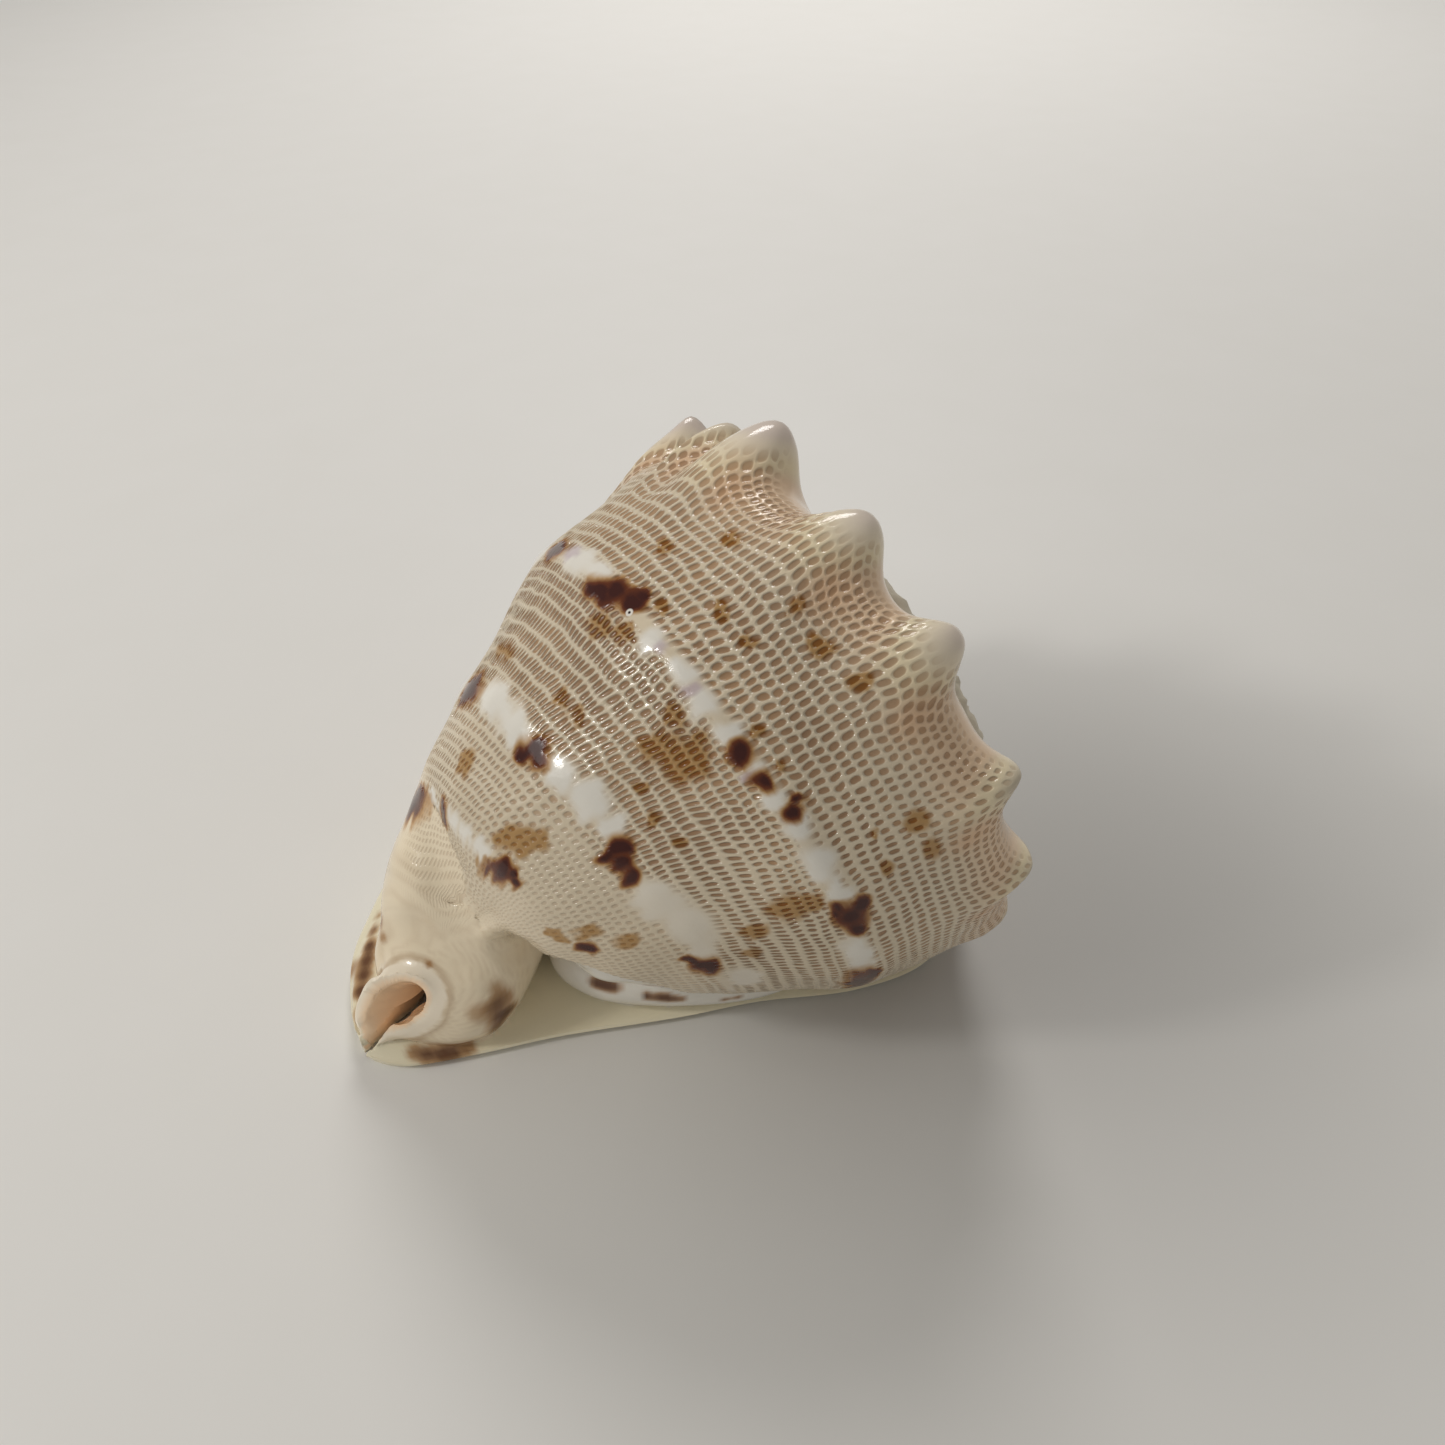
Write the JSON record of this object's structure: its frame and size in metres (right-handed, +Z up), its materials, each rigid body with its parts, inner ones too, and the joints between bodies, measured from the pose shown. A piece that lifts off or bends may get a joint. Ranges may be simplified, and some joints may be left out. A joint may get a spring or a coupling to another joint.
{
  "type": "horned helmet shell",
  "caption": "Heavy spiral sea shell with knobs round its shoulder, a netted back with brown spots, a flared lip and a short recurved canal, lying on its aperture.",
  "frame": {"origin": "on the table, under the middle of the shell's bounding box", "axes": "+X toward the spire, +Y toward the outer lip, +Z up"},
  "size_m": [0.1512, 0.1465, 0.122],
  "materials": {
    "shell": "polished"
  },
  "bodies": {
    "root": {"shell": "shell"}
  },
  "joints": []
}
